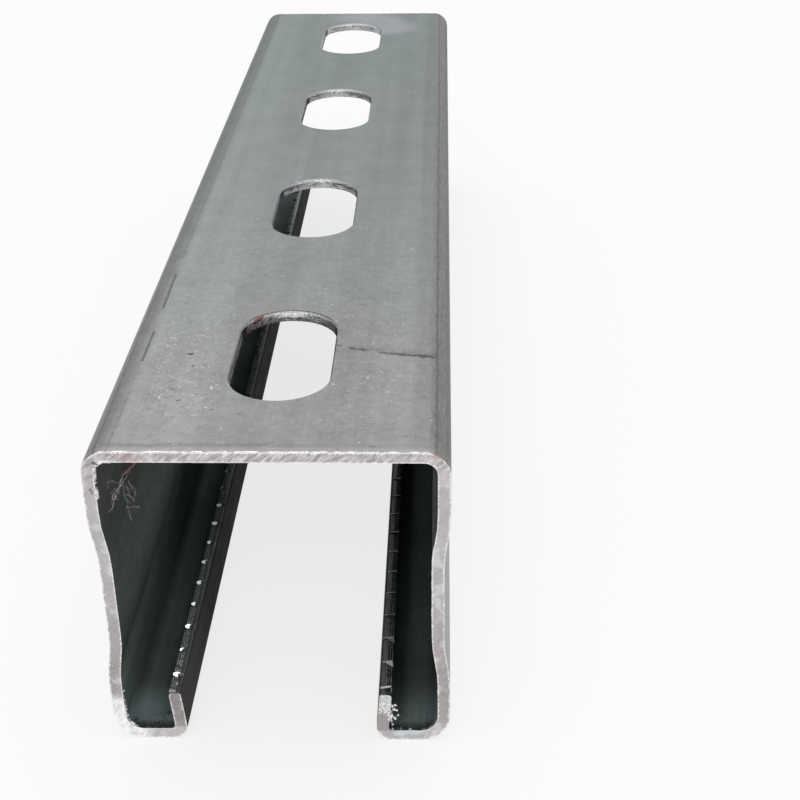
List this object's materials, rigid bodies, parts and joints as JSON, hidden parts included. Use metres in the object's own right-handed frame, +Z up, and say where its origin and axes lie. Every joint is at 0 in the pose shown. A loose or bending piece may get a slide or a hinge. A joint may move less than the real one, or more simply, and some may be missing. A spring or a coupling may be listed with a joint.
{
  "type": "strut channel",
  "caption": "Short sawn length of slotted strut channel: a square C section with inturned, nicked lips, grooved legs and round-ended slots along its web.",
  "frame": {"origin": "on the surface that the lips rest on, under the middle of the channel's width and length", "axes": "+X across the channel to the right, +Y along its length to the far end, +Z up through the slotted web; the open side faces down"},
  "size_m": [0.0412, 0.196, 0.0413],
  "materials": {
    "zinc_coated_steel": "satin zinc coating with rolled streaks, bare steel on the sawn ends"
  },
  "bodies": {
    "root": {"strut_channel": "zinc_coated_steel"}
  },
  "joints": []
}
